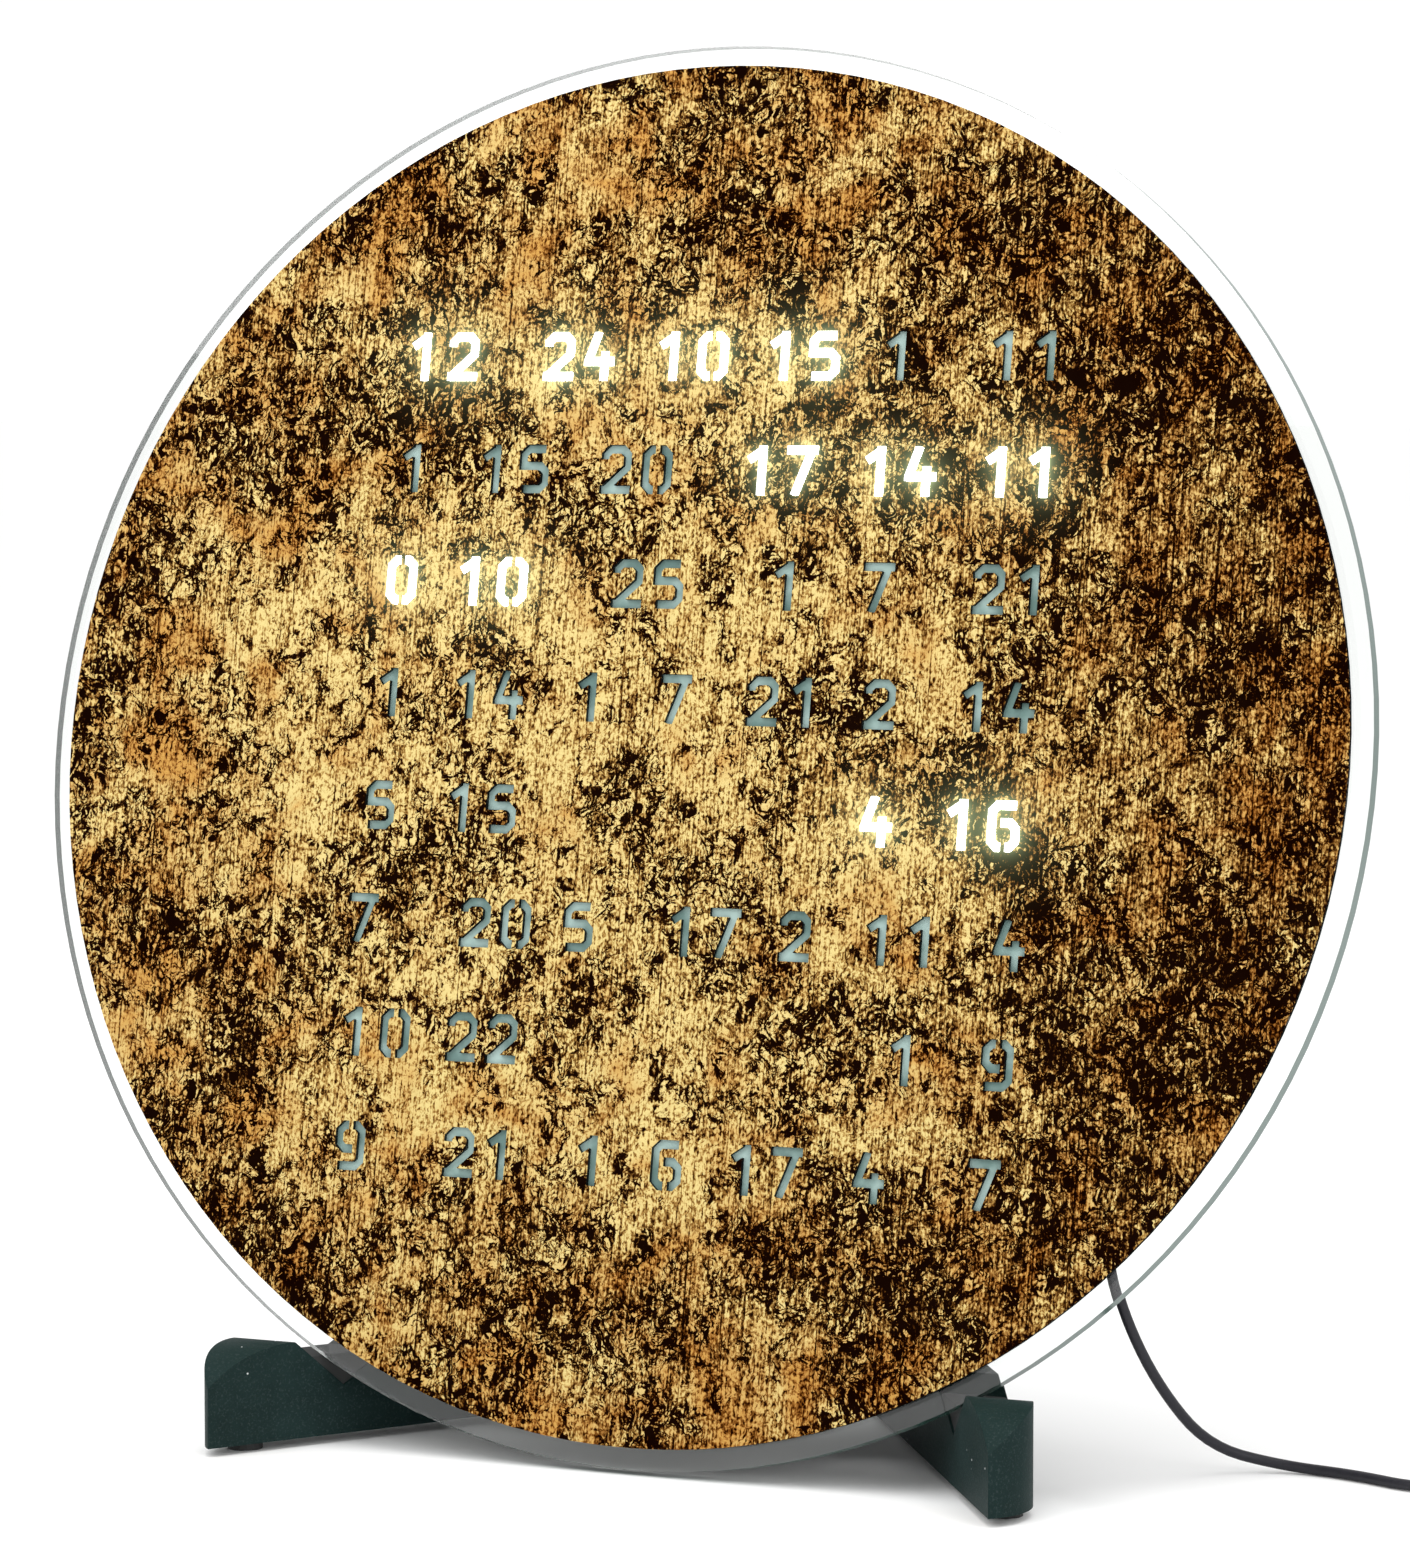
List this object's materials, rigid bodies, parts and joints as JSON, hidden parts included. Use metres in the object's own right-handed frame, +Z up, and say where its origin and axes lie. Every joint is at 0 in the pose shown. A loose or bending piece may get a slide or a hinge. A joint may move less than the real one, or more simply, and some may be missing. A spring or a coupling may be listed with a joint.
{
  "type": "table clock",
  "caption": "Round table clock: a glass disc with a stencilled bronze panel, lit numerals, and a housing behind, held leaning back in two low angled arms, with its power lead.",
  "frame": {"origin": "on the table, below the middle of the clock without its lead", "axes": "+X to the right of the face, +Y to the back, +Z up"},
  "size_m": [0.5427, 0.1762, 0.3944],
  "materials": {
    "glass": "clear float glass, green at the edge",
    "bronze": "golden bronze with a dark mottled patina",
    "film": "grey-green translucent film",
    "tape": "black foam tape",
    "housing": "fine matt black",
    "baffle": "matt white",
    "board": "green solder mask",
    "led": "white bodies",
    "chip": "black epoxy",
    "capacitor": "bare can",
    "cell": "bare steel",
    "button": "satin grey",
    "steel": "black zinc",
    "arm": "black-green, fine grain with a few pale specks",
    "plate": "black powder coat",
    "felt": "black felt",
    "rubber": "matt black",
    "lead": "semi-gloss black",
    "metal": "bright nickel",
    "tongue": "white"
  },
  "bodies": {
    "clock": {"arm_left": "arm", "arm_right": "arm", "board_screws": "steel", "bond_ring": "tape", "capacitors": "capacitor", "coin_cell": "cell", "coin_cell_holder": "chip", "cord_coil": "lead", "cord_lead": "lead", "cord_tail": "lead", "cord_tie": "rubber", "cover_screws": "steel", "dc_jack": "chip", "diffuser_sheet": "film", "driver_chips": "chip", "foot_pads": "rubber", "front_panel": "bronze", "glass_disc": "glass", "led_board": "board", "leds": "led", "light_baffle": "baffle", "plug_barrel": "metal", "plug_body": "lead", "plug_boot": "lead", "rear_cover": "housing", "rear_housing": "housing", "rest_pad": "felt", "rest_screws": "steel", "saddle_left": "rubber", "saddle_right": "rubber", "stand_plate": "plate", "stand_screws": "steel", "tact_switches": "chip", "usb_body": "lead", "usb_boot": "lead", "usb_shell": "metal", "usb_tongue": "tongue"},
    "button_hour": {"button_hour": "button"},
    "button_minute": {"button_minute": "button"},
    "button_dim": {"button_dim": "button"}
  },
  "joints": [
    {"name": "hour_press", "type": "slide", "parent": "clock", "child": "button_hour", "axis": [0, -0.9821, 0.1886], "range_m": [0, 0.0008], "stiffness_N_per_m": 400, "springref_m": -0.0005},
    {"name": "minute_press", "type": "slide", "parent": "clock", "child": "button_minute", "axis": [0, -0.9821, 0.1886], "range_m": [0, 0.0008], "stiffness_N_per_m": 400, "springref_m": -0.0005},
    {"name": "dim_press", "type": "slide", "parent": "clock", "child": "button_dim", "axis": [0, -0.9821, 0.1886], "range_m": [0, 0.0008], "stiffness_N_per_m": 400, "springref_m": -0.0005}
  ]
}
